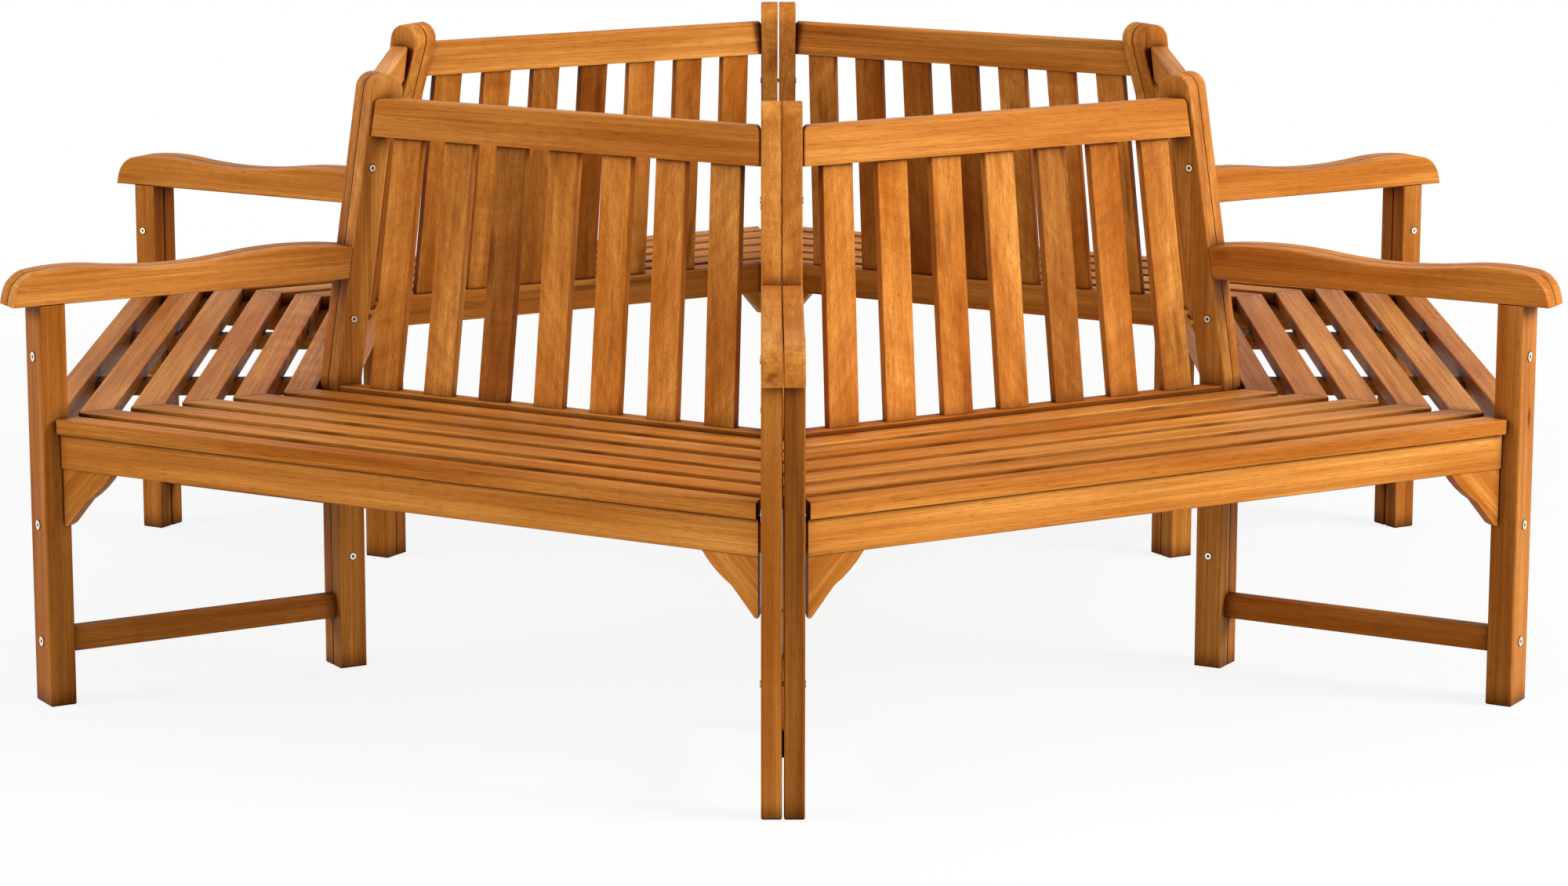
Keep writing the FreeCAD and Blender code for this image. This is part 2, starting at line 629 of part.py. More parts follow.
def make_arms(corner, angle):
    """Two wavy arm boards side by side, with a rounded nose over the outer legs."""
    body = new_body(f"arms_{corner}", angle)
    outline = new_sketch(body, "outline", "XZ_Plane")
    low = size("arm_underside")
    high = low + size("arm_height")
    nose = size("corner_radius") + size("arm_overhang")
    end = post_face(high)
    length = nose - end
    corner = (nose, low)
    slope_top = (nose - size("arm_nose_slope"), low + size("arm_nose_straight"))
    round_end = (slope_top[0] - size("arm_nose_round"), high)
    waist_start = nose - length * ARM_WAIST_START
    waist_end = nose - length * ARM_WAIST_END
    add_loop(outline, [
        (post_face(low), low),
        corner,
        (*slope_top, tangent_bulge(corner, slope_top, round_end)),
        (*round_end, (waist_start - round_end[0]) * ARM_WAVE),
        (waist_start, high, (waist_start - waist_end) * ARM_WAVE),
        (waist_end, high, (end - waist_end) * ARM_WAVE),
        (end, high)])
    boards = pad(body, outline, HALF_PAIR * 2, symmetric=True)
    half = HALF_PAIR.number
    round_edges(body, boards, size("edge_round"),
                lambda edge: abs(abs(edge.BoundBox.YMin) - half) < CLOSE and edge.BoundBox.YLength < CLOSE
                and edge.BoundBox.XMax > post_face(low).number + 1)
    split_pair(body, size("back_leg_radius") / 2, nose + OVERRUN, low - OVERRUN, high + size("arm_height"))
    mortises = [(LEG_TENON_INNER - TENON_FIT, ARM_TENON_LOW - TENON_FIT,
                 LEG_TENON_OUTER + TENON_FIT, ARM_TENON_HIGH + TENON_FIT),
                (LEG_TENON_INNER - TENON_FIT, -ARM_TENON_HIGH - TENON_FIT,
                 LEG_TENON_OUTER + TENON_FIT, -ARM_TENON_LOW + TENON_FIT)]
    block(body, "leg_mortises", LEG_TENON_TOP + TENON_FIT, mortises,
          size("leg_tenon_height") + TENON_FIT + OVERRUN, cut=True)
    tenon_root = post_face(low) + OVERRUN
    tenons = [(ARM_TENON_END, ARM_TENON_LOW, tenon_root, ARM_TENON_HIGH),
              (ARM_TENON_END, -ARM_TENON_HIGH, tenon_root, -ARM_TENON_LOW)]
    block(body, "post_tenons", ARM_TENON_BOTTOM, tenons, ARM_TENON_TOP - ARM_TENON_BOTTOM)
    return body


def make_side_rails(corner, angle):
    """The two rails beside a corner plane that carry the ends of the seat slats."""
    body = new_body(f"seat_side_rails_{corner}", angle)
    inner = size("back_leg_radius")
    rails = [(inner, HALF_GAP, LEG_INNER, HALF_PAIR), (inner, -HALF_PAIR, LEG_INNER, -HALF_GAP)]
    block(body, "rails", SIDE_RAIL_BOTTOM, rails, size("side_rail_height"))
    reach = size("tenon_length")
    tenons = [(inner - reach, SIDE_TENON_LOW, LEG_INNER + reach, SIDE_TENON_HIGH),
              (inner - reach, -SIDE_TENON_HIGH, LEG_INNER + reach, -SIDE_TENON_LOW)]
    block(body, "tenons", SIDE_TENON_BOTTOM, tenons, SIDE_TENON_TOP - SIDE_TENON_BOTTOM)
    return body


def make_stretcher(corner, angle):
    """The low rail between the outer legs and the back legs, in the middle of the pair."""
    body = new_body(f"leg_stretcher_{corner}", angle)
    inner = size("back_leg_radius")
    half = size("stretcher_thickness") / 2
    section = new_sketch(body, "section", "YZ_Plane", inner)
    add_loop(section, rectangle(-half, size("stretcher_bottom"), half,
                                size("stretcher_bottom") + size("stretcher_height"), size("edge_round")))
    pad(body, section, LEG_INNER - inner)
    reach = size("tenon_length")
    tenon = [(inner - reach, -STRETCHER_TENON, LEG_INNER + reach, STRETCHER_TENON)]
    block(body, "tenons", STRETCHER_TENON_BOTTOM, tenon, STRETCHER_TENON_TOP - STRETCHER_TENON_BOTTOM)
    if corner in WIDE_LEG_CORNERS:
        sketch = new_sketch(body, "bolt_hole", "YZ_Plane", LEG_INNER + reach)
        add_circle(sketch, (0, STRETCHER_MIDDLE), SHANK_HOLE)
        pocket(body, sketch, reach + OVERRUN)
    return body


# Pieces of a section

def pad_section(body, name, loops):
    """Boards along a section, from the outlines of their cross-sections."""
    sketch = new_sketch(body, name, "XZ_Plane")
    for loop in loops:
        add_loop(sketch, loop)
    return pad(body, sketch, REACH, symmetric=True)


def make_apron(section, angle):
    body = new_body(f"seat_apron_{section}", angle)
    outline = rectangle(APRON_BACK, APRON_BOTTOM, APRON_FACE, SEAT_UNDERSIDE, size("edge_round"))
    pad_section(body, "profile", [outline])
    shoulder = HALF_PAIR + size("shadow_gap")
    open_end_cut(body, "ends", APRON_BACK, APRON_FACE, size("shadow_gap"))
    flank_tenon(body, "tenons", APRON_TENON_LOW, APRON_TENON_HIGH, APRON_TENON_BOTTOM,
                APRON_TENON_TOP, shoulder, FLANK_TENON_END)
    cut_bearer_mortises(body, APRON_BACK - OVERRUN, APRON_BACK + size("bearer_tenon") + TENON_FIT)
    return body


def bearer_places():
    return size("bearer_spacing") / 2, -size("bearer_spacing") / 2


def cut_bearer_mortises(body, low_x, high_x):
    side = BEARER_TENON_SIDE + TENON_FIT
    mortises = [(low_x, place - side, high_x, place + side) for place in bearer_places()]
    block(body, "bearer_mortises", BEARER_TENON_TOP + TENON_FIT, mortises,
          BEARER_TENON_TOP - BEARER_TENON_BOTTOM + TENON_FIT * 2, cut=True)


def make_seat_slats(section, angle):
    """A narrow front slat between the legs and wide slats that meet the next section's in a mitre."""
    body = new_body(f"seat_slats_{section}", angle)
    rounding = size("slat_round")
    front_rear = SEAT_FRONT - size("front_slat_width")
    front = rectangle(front_rear, SEAT_UNDERSIDE, SEAT_FRONT, size("seat_height"), rounding)
    pad_section(body, "front_profile", [front])
    open_end_cut(body, "front_ends", front_rear, SEAT_FRONT, size("slat_leg_gap"))
    seat_rear = apothem(size("back_leg_radius"), HALF_PAIR) + size("seat_rear_clearance")
    pitch = (front_rear - seat_rear) / WIDE_SEAT_SLATS
    loops = []
    for number in range(WIDE_SEAT_SLATS):
        low = seat_rear + pitch * number
        loops.append(rectangle(low, SEAT_UNDERSIDE, low + size("seat_slat_width"),
                               size("seat_height"), rounding))
    pad_section(body, "profiles", loops)
    parallel_end_cut(body, "mitres", size("mitre_gap") / 2)
    return body


def rail_profile(bottom, top, leaning):
    """Cross-section of a back rail, whose faces lean with the posts where they lean."""
    low_face = rail_face(bottom) if leaning else LOWER_RAIL_FACE
    high_face = rail_face(top) if leaning else LOWER_RAIL_FACE
    thickness = size("rail_thickness")
    return [(low_face - thickness, bottom), (low_face, bottom), (high_face, top),
            (high_face - thickness, top)]


def finish_rail(body, top, corner_rounding=None):
    """Cuts the ends to the flanks of the posts and rounds the upper edges and, where asked, corners."""
    shape = parallel_end_cut(body, "ends", HALF_PAIR)
    level = top.number
    if corner_rounding is not None:
        shape = round_edges(
            body, shape, corner_rounding,
            lambda edge: edge.BoundBox.ZMin > level - CLOSE and edge.BoundBox.YLength < LONG_EDGE)
    round_edges(body, shape, size("edge_round"),
                lambda edge: edge.BoundBox.ZMin > level - CLOSE and edge.BoundBox.XLength < CLOSE)


def make_top_rail(section, angle):
    body = new_body(f"back_top_rail_{section}", angle)
    pad_section(body, "profile", [rail_profile(TOP_RAIL_BOTTOM, TOP_RAIL_TOP, True)])
    finish_rail(body, TOP_RAIL_TOP, size("rail_corner"))
    flank_tenon(body, "tenons", TOP_TENON_BACK, TOP_TENON_FRONT, TOP_TENON_BOTTOM,
                TOP_TENON_TOP, HALF_PAIR, FLANK_TENON_END)
    cut_back_slat_mortises(body)
    return body


def make_lower_rails():
    """The low rails of the back, one in each section, that also carry the seat bearers."""
    body = new_body("back_lower_rails", 0)
    pad_section(body, "profile", [rail_profile(LOWER_RAIL_BOTTOM, LOWER_RAIL_TOP, False)])
    finish_rail(body, LOWER_RAIL_TOP)
    flank_tenon(body, "tenons", LOWER_TENON_BACK, LOWER_TENON_FRONT, LOWER_TENON_BOTTOM,
                LOWER_TENON_TOP, HALF_PAIR, FLANK_TENON_END)
    cut_back_slat_mortises(body)
    face = LOWER_RAIL_FACE
    cut_bearer_mortises(body, face - size("bearer_tenon") - TENON_FIT, face + OVERRUN)
    repeat_round_ring(body)
    return body


def leaning_sketch(body, name):
    """A sketch in the middle plane of the back slats, x along the section and y up the slope."""
    sketch = new_sketch(body, name, "YZ_Plane")
    lean = arctangent(SECTION_SLOPE)
    sketch.AttachmentOffset = FreeCAD.Placement(
        FreeCAD.Vector(), FreeCAD.Rotation(FreeCAD.Vector(-1, 0, 0), lean.number))
    sketch.setExpression("AttachmentOffset.Rotation.Angle", lean.formula)
    middle = LOWER_RAIL_FACE - size("back_slat_inset") - size("back_slat_thickness") / 2
    sketch.setExpression("AttachmentOffset.Base.y", size("lean_start").formula)
    sketch.setExpression("AttachmentOffset.Base.z", middle.formula)
    return sketch


def add_back_slats(sketch, margin):
    """Outlines of the slats, which spread a little towards the seat."""
    slope_length = square_root(1 + SECTION_SLOPE * SECTION_SLOPE)
    low = (LOWER_RAIL_TOP - size("slat_tenon") - size("lean_start")) * slope_length - margin
    high = (TOP_RAIL_BOTTOM + size("slat_tenon") - size("lean_start")) * slope_length + margin
    half = size("back_slat_width") / 2 + margin
    for number in range(BACK_SLATS):
        step = number - (BACK_SLATS - 1) / 2
        low_middle = size("back_slat_pitch_low") * step
        high_middle = size("back_slat_pitch_top") * step
        add_loop(sketch, [(low_middle - half, low), (low_middle + half, low),
                          (high_middle + half, high), (high_middle - half, high)])


def cut_back_slat_mortises(body):
    sketch = leaning_sketch(body, "slat_mortises")
    add_back_slats(sketch, TENON_FIT)
    pocket(body, sketch, size("back_slat_thickness") + TENON_FIT * 2, symmetric=True)


def make_back_slats(section, angle):
    body = new_body(f"back_slats_{section}", angle)
    sketch = leaning_sketch(body, "outlines")
    add_back_slats(sketch, Size(0))
    slats = pad(body, sketch, size("back_slat_thickness"), symmetric=True)
    round_edges(body, slats, size("back_slat_round"), lambda edge: edge.BoundBox.ZLength > LONG_EDGE)
    return body


# Small pieces that repeat round the ring

def repeat_round_ring(body):
    """Repeats everything in the body for all six sections."""
    doc.recompute()
    axis = [item for item in body.Origin.OriginFeatures if item.Role == "Z_Axis"][0]
    pattern = body.newObject("PartDesign::PolarPattern", f"{body.Name}_ring")
    pattern.TransformMode = "Whole shape"
    pattern.Axis = (axis, [""])
    pattern.Angle = 360
    pattern.Occurrences = len(SECTIONS)
    body.Tip = pattern
    return pattern


def make_bearers():
    """Battens under the seat slats, from the apron to the lower back rail."""
    body = new_body("seat_bearers", 0)
    half = size("bearer_width") / 2
    bottom = SEAT_UNDERSIDE - size("bearer_height")
    bearers = [(LOWER_RAIL_FACE, place - half, APRON_BACK, place + half) for place in bearer_places()]
    block(body, "bearers", bottom, bearers, size("bearer_height"))
    reach = size("bearer_tenon")
    tenons = [(LOWER_RAIL_FACE - reach, place - BEARER_TENON_SIDE,
               APRON_BACK + reach, place + BEARER_TENON_SIDE) for place in bearer_places()]
    block(body, "tenons", BEARER_TENON_BOTTOM, tenons, BEARER_TENON_TOP - BEARER_TENON_BOTTOM)
    repeat_round_ring(body)
    return body


def make_brackets():
    """Shaped brackets under both ends of every apron, beside the outer legs."""
    body = new_body("apron_brackets", 0)
    face = APRON_FACE - size("bracket_inset")
    sketch = new_sketch(body, "outlines", "YZ_Plane", face)
    end = APRON_FACE * CORNER_TANGENT - (HALF_PAIR + size("shadow_gap")) / CORNER_COSINE
    toe = APRON_BOTTOM - size("bracket_drop")
    past_end = end + size("bracket_length") / 2
    for side in (1, -1):
        add_loop(sketch, [
            (past_end * side, APRON_BOTTOM),
            ((end - size("bracket_length")) * side, APRON_BOTTOM, size("bracket_swell") * -side),
            ((end - size("bracket_waist")) * side, APRON_BOTTOM - size("bracket_waist_drop")),
            ((end - size("bracket_toe")) * side, toe),
            (past_end * side, toe)])
    pad(body, sketch, size("bracket_thickness"), reverse=True)
    open_end_cut(body, "ends", face - size("bracket_thickness"), face, size("shadow_gap"))
    repeat_round_ring(body)
    return body


# Bolts

def bolt_head(name, bottom, diameter, across_flats):
    """A flat round head and the tool that cuts its hexagon socket, with their axis along Z."""
    head = doc.addObject("Part::Cylinder", f"{name}_head")
    head.setExpression("Radius", (diameter / 2).formula)
    head.setExpression("Height", size("bolt_head_height").formula)
    head.setExpression("Placement.Base.z", bottom.formula)
    socket = doc.addObject("Part::Prism", f"{name}_socket")
    socket.Polygon = 6
    socket.setExpression("Circumradius", (across_flats / 2 / CORNER_COSINE).formula)
    socket.setExpression("Height", (size("bolt_socket_depth") + OVERRUN).formula)
    socket_bottom = bottom + size("bolt_head_height") - size("bolt_socket_depth")
    socket.setExpression("Placement.Base.z", socket_bottom.formula)
    return head, socket


def fuse_and_cut(name, solids, cutters):
    fused = doc.addObject("Part::MultiFuse", f"{name}_solid")
    fused.Shapes = solids
    result = fused
    for number, cutter in enumerate(cutters, start=1):
        cut = doc.addObject("Part::Cut", f"{name}_cut_{number}")
        cut.Base = result
        cut.Tool = cutter
        result = cut
    return result


def make_bolt(name, seat, length, bore_length=None, head_size=None, socket_size=None):
    """A bolt whose head sits at the given height on its axis; a bore makes it a sleeve nut."""
    head_size = head_size or size("bolt_head_diameter")
    head, socket = bolt_head(name, seat, head_size, socket_size or size("bolt_socket"))
    shank = doc.addObject("Part::Cylinder", f"{name}_shank")
    diameter = size("bolt_diameter") if bore_length is None else size("sleeve_diameter")
    shank.setExpression("Radius", (diameter / 2).formula)
    shank.setExpression("Height", length.formula)
    shank.setExpression("Placement.Base.z", (seat - length).formula)
    cutters = [socket]
    if bore_length is not None:
        bore = doc.addObject("Part::Cylinder", f"{name}_bore")
        bore.setExpression("Radius", (size("bolt_diameter") / 2 + size("bolt_clearance")).formula)
        bore.setExpression("Height", bore_length.formula)
        bore.setExpression("Placement.Base.z", (seat - length - OVERRUN).formula)
        cutters.append(bore)
    return fuse_and_cut(name, [head, shank], cutters)


def place_bolt(item, axis, radius, height, angle):
    """Turns a bolt's own Z to an axis and sets it at a radius and height in a corner plane."""
    turn = math.radians(angle)
    item.Placement = FreeCAD.Placement(FreeCAD.Vector(), FreeCAD.Rotation(FreeCAD.Vector(0, 0, 1), axis))
    item.setExpression("Placement.Base.x", (radius * math.cos(turn)).formula)
    item.setExpression("Placement.Base.y", (radius * math.sin(turn)).formula)
    item.setExpression("Placement.Base.z", height.formula)


def place_across_corner(item, angle, place, side):
    """Stands a bolt's axis square to the corner plane, head towards the given side."""
    radius, height = place
    turn = math.radians(angle)
    axis = FreeCAD.Vector(-math.sin(turn) * side, math.cos(turn) * side, 0)
    place_bolt(item, axis, radius, height, angle)


def group(name, items):
    compound = doc.addObject("Part::Compound", name)
    compound.Label = name
    compound.Links = items
    return compound


def make_joining_bolts():
    """Bolts and sleeve nuts that join the boards of each corner from both flanks."""
    bolts = []
    nuts = []
    seat = HALF_PAIR - size("bolt_recess_depth")
    sleeve = seat - HALF_GAP
    for corner, angle in CORNERS.items():
        places = post_bolt_places()
        if corner not in WIDE_LEG_CORNERS:
            places.append(outer_bolt_place(corner))
        for number, place in enumerate(places, start=1):
            name = f"{corner}_{number}"
            bolt = make_bolt(f"bolt_{name}", seat, seat + sleeve - size("bolt_head_height"))
            place_across_corner(bolt, angle, place, 1)
            nut = make_bolt(f"nut_{name}", seat, sleeve, sleeve + OVERRUN - size("bolt_end_clearance"))
            place_across_corner(nut, angle, place, -1)
            bolts.append(bolt)
            nuts.append(nut)
    return [group("frame_joining_bolts", bolts), group("frame_sleeve_nuts", nuts)]


def make_face_bolts():
    """Bolts in the outward faces of the two wide legs."""
    bolts = []
    seat = size("corner_radius") - size("bolt_recess_depth")
    blind = size("face_bolt_skin") + size("bolt_end_clearance")
    length = size("leg_depth") - size("bolt_recess_depth") - blind
    for corner in WIDE_LEG_CORNERS:
        turn = math.radians(CORNERS[corner])
        outwards = FreeCAD.Vector(math.cos(turn), math.sin(turn), 0)
        for number, height in enumerate(face_bolt_heights(), start=1):
            bolt = make_bolt(f"face_bolt_{corner}_{number}", seat, length,
                             head_size=size("face_bolt_head"), socket_size=size("face_bolt_socket"))
            place_bolt(bolt, outwards, Size(0), height, CORNERS[corner])
            bolts.append(bolt)
    return [group("wide_leg_face_bolts", bolts)]


# The whole bench

masters = {}


def turned(name, make, kind, place, angle):
    """Makes a piece once, and repeats it turned about the tree where the same piece comes again."""
    if (name, kind) not in masters:
        masters[name, kind] = (make(place, angle), angle)
        return masters[name, kind][0]
    master, master_angle = masters[name, kind]
    copy = doc.addObject("Part::Compound", f"{name}_{place}")
    copy.Label = f"{name}_{place}"
    copy.Links = [master]
    copy.Placement = FreeCAD.Placement(
        FreeCAD.Vector(), FreeCAD.Rotation(FreeCAD.Vector(0, 0, 1), angle - master_angle))
    return copy


subparts = []
for corner, angle in CORNERS.items():
    leg_kind = "wide" if corner in WIDE_LEG_CORNERS else outer_bolt_place(corner)[1].formula
    stretcher_kind = corner in WIDE_LEG_CORNERS
    subparts.append(turned("outer_legs", make_outer_legs, leg_kind, corner, angle))
    subparts.append(turned("back_posts", make_back_posts, None, corner, angle))
    subparts.append(turned("arms", make_arms, None, corner, angle))
    subparts.append(turned("seat_side_rails", make_side_rails, None, corner, angle))
    subparts.append(turned("leg_stretcher", make_stretcher, stretcher_kind, corner, angle))
for section, angle in SECTIONS.items():
    subparts.append(turned("seat_apron", make_apron, None, section, angle))
    subparts.append(turned("seat_slats", make_seat_slats, None, section, angle))
    subparts.append(turned("back_top_rail", make_top_rail, None, section, angle))
    subparts.append(turned("back_slats", make_back_slats, None, section, angle))
subparts.append(make_lower_rails())
subparts.append(make_bearers())
subparts.append(make_brackets())
subparts.extend(make_joining_bolts())
subparts.extend(make_face_bolts())
doc.recompute()

faults = [item.Name for item in doc.Objects if "Invalid" in item.State or "Error" in item.State]
for part in subparts:
    if part.Shape.isNull() or not part.Shape.isValid() or not part.Shape.Solids:
        faults.append(part.Label)
if faults:
    raise RuntimeError(f"These objects failed: {faults}")
for part in subparts:
    part.Shape.exportStep(f"parts/{part.Label}.step")
    print(part.Label, len(part.Shape.Solids), "solids", round(part.Shape.Volume))
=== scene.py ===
import math

import bpy
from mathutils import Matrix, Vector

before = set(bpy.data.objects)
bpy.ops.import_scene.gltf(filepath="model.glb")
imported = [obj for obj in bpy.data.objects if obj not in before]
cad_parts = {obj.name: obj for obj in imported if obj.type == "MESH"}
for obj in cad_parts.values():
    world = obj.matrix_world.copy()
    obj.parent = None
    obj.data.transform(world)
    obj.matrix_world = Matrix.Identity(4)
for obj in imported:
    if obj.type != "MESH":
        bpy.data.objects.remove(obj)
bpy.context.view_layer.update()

# Lengths are in metres throughout
SECTIONS = 6
SECTION_TURN = 2 * math.pi / SECTIONS
CORNER_START = SECTION_TURN / 2

# The seat and back slats of a section, as far as the grain of each board needs them
SEAT_SLAT_START = 0.6785
SEAT_SLAT_PITCH = 0.06998
BACK_SLAT_PITCH_LOW = 0.096
BACK_SLAT_PITCH_TOP = 0.090
BACK_SLAT_LOW = 0.4247
BACK_SLAT_TOP = 0.8087

# Painted shade in crevices: how open a spot is to its surroundings where it is darkened fully, and where it
# isn't darkened at all
CREVICE_SHUT = 0.40
CREVICE_OPEN = 0.92
CREVICE_SAMPLES = 8
WOOD_SHADE_REACH = 0.04           # how far away a face still darkens
ZINC_SHADE_REACH = 0.004

# The log: how far apart boards may lie in it, and how far from its heart they are cut
LOG_LENGTH = 40.0
HEART_NEAR = 0.04
HEART_FAR = 0.20
OTHER_SEED = 17.3             # sets a board's second three random numbers apart from the first

# Growth rings, and how the grain strays from a straight line
RINGS_PER_METRE = 300.0
WANDER = 0.012
WANDERS_PER_METRE = 1.3
TILT = 0.02
RIPPLE = 0.0005

# Tone and lightness of the boards
CLOUD_TONE = 0.60
BOARD_TONE = 0.40
DARKEST_BOARD = 0.84
LIGHTEST_BOARD = 1.16
DARK_BOARD_LOSS = 0.42
CLOUD_LOSS = 0.20
CLEAR_GAIN = 1.08
GREEN_DEPTH = 1.25            # powers of the lightness, so that darker boards are deeper in colour too
BLUE_DEPTH = 1.5

# The finish of the wood
SMOOTH_ROUGHNESS = 0.42
FIBRE_ROUGHNESS = 0.14
FIBRE_HEIGHT = 0.6
RING_HEIGHT = 0.4
GRAIN_RELIEF = 0.00025
OIL_SHINE = 0.07
OIL_TINT = (1.0, 0.72, 0.40, 1.0)

# The floor, between the greys it has for bounced light and for the eye, and its own glow
FLOOR_HALF = 60.0
FLOOR_DROP = 0.0005
BOUNCE_GREY = 0.42
SEEN_GREY = 0.86
GLOW_START = 1.4
GLOW_FULL = 4.0
GLOW_AT_START = 0.86

WORLD_POWER = 0.30
WHITE = (1.0, 1.0, 1.0, 1.0)

CAMERA_PLACE = (-0.0277, -7.1571, 1.6866)
CAMERA_DOWN = 0.1963          # radians below level
SENSOR_MM = 36.0
LENS_MM = 106.2
LENS_SHIFT = 0.014
FAR_END = 200.0


def linear(red, green, blue):
    """A screen colour given in 0 to 255, as the linear colour that a shader takes."""
    def one(value):
        value /= 255
        return value / 12.92 if value <= 0.04045 else ((value + 0.055) / 1.055) ** 2.4
    return (one(red), one(green), one(blue), 1.0)


HONEY = linear(242, 171, 84)
AMBER = linear(206, 118, 36)
RUSSET = linear(150, 76, 14)
WALNUT = linear(84, 38, 5)
# Painted shade: the dark tint that gaps and joints between boards are multiplied by
PAINTED_GAP_SHADE = linear(104, 70, 38)
WARM_ZINC = linear(232, 226, 208)
PALE_ZINC = linear(252, 249, 238)
# Painted shade: the dark tint that the holes and recesses around bolts and nuts are multiplied by
PAINTED_HOLE_SHADE = linear(70, 62, 52)


class Shader:
    """The node tree of a new material or world, with short ways to add nodes and join them."""

    # The sockets of a mixing node that mixes colours
    FACTOR, FIRST, SECOND, MIXED = 0, 6, 7, 2

    def __init__(self, name, makers=bpy.data.materials):
        self.owner = makers.new(name)
        self.owner.use_nodes = True
        self.tree = self.owner.node_tree
        self.tree.nodes.clear()

    def node(self, kind, inputs=None, **settings):
        node = self.tree.nodes.new("ShaderNode" + kind)
        for key, value in settings.items():
            setattr(node, key, value)
        for socket, value in (inputs or {}).items():
            self.feed(node.inputs[socket], value)
        return node

    def feed(self, socket, value):
        if isinstance(value, bpy.types.NodeSocket):
            self.tree.links.new(value, socket)
        else:
            socket.default_value = value

    def math(self, operation, *values):
        return self.node("Math", dict(enumerate(values)), operation=operation).outputs[0]

    def span(self, value, low, high, to_low=0.0, to_high=1.0):
        """The value carried from one span to another, and held at its ends."""
        inputs = {"Value": value, "From Min": low, "From Max": high, "To Min": to_low, "To Max": to_high}
        return self.node("MapRange", inputs).outputs[0]

    def combine(self, x, y, z):
        return self.node("CombineXYZ", {0: x, 1: y, 2: z}).outputs[0]

    def split(self, vector):
        return self.node("SeparateXYZ", {0: vector}).outputs

    def noise(self, vector, detail):
        return self.node("TexNoise", {"Vector": vector, "Scale": 1.0, "Detail": detail}).outputs[0]

    def mix(self, factor, first, second, blend="MIX"):
        node = self.node("Mix", data_type="RGBA", blend_type=blend)
        self.feed(node.inputs[self.FACTOR], factor)
        self.feed(node.inputs[self.FIRST], first)
        self.feed(node.inputs[self.SECOND], second)
        return node.outputs[self.MIXED]

    def bump(self, height, strength, distance):
        inputs = {"Height": height, "Strength": strength, "Distance": distance}
        return self.node("Bump", inputs).outputs[0]

    def object_place(self):
        return self.node("TexCoord").outputs["Object"]

    def paint_crevice_shade(self, colour, distance, tint):
        """Painted shade: the colour, multiplied by the tint wherever other faces stand close by, so gaps,
        corners and holes darken where shade falls.
        """
        sides = self.node("AmbientOcclusion", {"Distance": distance}, samples=CREVICE_SAMPLES)
        shade_share = self.span(sides.outputs["AO"], CREVICE_SHUT, CREVICE_OPEN, 1.0, 0.0)
        return self.mix(shade_share, colour, tint, "MULTIPLY")

    def seen_directly(self):
        """One for what the eye sees, also in or through gloss, and nought for what only lights."""
        path = self.node("LightPath").outputs
        reflected = self.math("MAXIMUM", path["Is Glossy Ray"], path["Is Transmission Ray"])
        return self.math("MAXIMUM", path["Is Camera Ray"], reflected)

    def finish(self, surface, output="OutputMaterial"):
        self.node(output, {"Surface": surface})
        return self.owner


def ring_place(shader, corner_piece):
    """Which of the six sections or corners a point is in, and its place there: outwards, sideways, up."""
    place = shader.object_place()
    x, y, up = shader.split(place)
    start = CORNER_START if corner_piece else 0.0
    angle = shader.math("SUBTRACT", shader.math("ARCTAN2", y, x), start)
    number = shader.math("ROUND", shader.math("DIVIDE", angle, SECTION_TURN))
    turn = shader.math("MULTIPLY_ADD", number, -SECTION_TURN, -start)
    turned = shader.node("VectorRotate", {"Vector": place, "Angle": turn}, rotation_type="Z_AXIS").outputs[0]
    out, side, _ = shader.split(turned)
    return shader.math("FLOORED_MODULO", number, SECTIONS), out, side, up


# Each layout gives a point's place along its board, across it and through it, and the board's number

def along_section(shader, out, side, up):
    return side, up, out, 0.0


def seat_slat(shader, out, side, up):
    from_start = shader.math("SUBTRACT", out, SEAT_SLAT_START)
    number = shader.math("FLOOR", shader.math("DIVIDE", from_start, SEAT_SLAT_PITCH))
    return side, out, up, number


def back_slat(shader, out, side, up):
    pitch = shader.span(up, BACK_SLAT_LOW, BACK_SLAT_TOP, BACK_SLAT_PITCH_LOW, BACK_SLAT_PITCH_TOP)
    number = shader.math("ROUND", shader.math("DIVIDE", side, pitch))
    across = shader.math("SUBTRACT", side, shader.math("MULTIPLY", number, pitch))
    return up, across, out, number


def outwards_pair(shader, out, side, up):
    return out, up, side, shader.math("SIGN", side)


def outwards_single(shader, out, side, up):
    return out, up, side, 0.0


def upright_pair(shader, out, side, up):
    return up, out, side, shader.math("SIGN", side)


def upright_single(shader, out, side, up):
    return up, out, side, 0.0


def bracket(shader, out, side, up):
    half = shader.math("ABSOLUTE", side)
    return shader.math("SUBTRACT", half, up), shader.math("ADD", half, up), out, shader.math("SIGN", side)


class Board:
    """A point's place in its board, and six random numbers that all points of the board share."""

    def __init__(self, shader, seed, corner_piece, layout):
        self.shader = shader
        sector, out, side, up = ring_place(shader, corner_piece)
        self.length, self.across, self.depth, number = layout(shader, out, side, up)
        self.chance = self.randoms(sector, number, seed)
        self.other = self.randoms(number, sector, seed + OTHER_SEED)
        # Each board is cut from its own place in the log
        self.shift = shader.math("MULTIPLY", self.chance[0], LOG_LENGTH)
        self.run = shader.math("ADD", self.length, self.shift)

    def randoms(self, *numbers):
        place = self.shader.combine(*numbers)
        return self.shader.split(self.shader.node("TexWhiteNoise", {"Vector": place}).outputs["Color"])

    def stretched(self, along, over, offset=0.0):
        """The place with one scale along the grain and another over it, for a texture to read."""
        return self.shader.combine(self.shader.math("MULTIPLY", self.run, along),
                                   self.shader.math("MULTIPLY_ADD", self.across, over, offset),
                                   self.shader.math("MULTIPLY", self.depth, over))

    def streaks(self, along, over, offset, detail, low, high):
        """Streaks drawn out along the grain: nought up to the low value of the noise, one from the high."""
        noise = self.shader.noise(self.stretched(along, over, offset), detail)
        return self.shader.span(noise, low, high)


